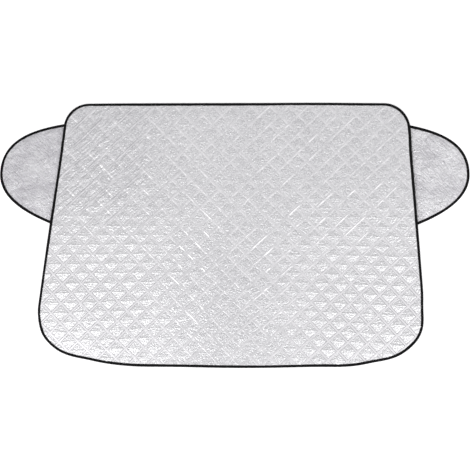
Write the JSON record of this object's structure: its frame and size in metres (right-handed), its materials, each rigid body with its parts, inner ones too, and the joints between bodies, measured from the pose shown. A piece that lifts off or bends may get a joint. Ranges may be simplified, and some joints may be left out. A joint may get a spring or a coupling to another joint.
{
  "type": "windshield frost cover",
  "caption": "Quilted silver windshield cover with a black taped edge and a plain door flap on each side, laid out flat.",
  "frame": {"origin": "on the ground under the middle of the cover, midway between the two flap tips and between hem and top edge", "axes": "+X across the car from flap to flap, +Y up the glass from the rounded hem to the straight top edge, +Z away from the glass"},
  "size_m": [1.7972, 1.0108, 0.0105],
  "materials": {
    "quilt_film": "crinkled metallised film over thin padding",
    "flap_film": "satin metallised film",
    "black_tape": "woven tape"
  },
  "bodies": {
    "root": {"quilted_panel": "quilt_film", "panel_binding": "black_tape", "flap_left": "flap_film", "flap_right": "flap_film", "flap_binding_left": "black_tape", "flap_binding_right": "black_tape"}
  },
  "joints": []
}
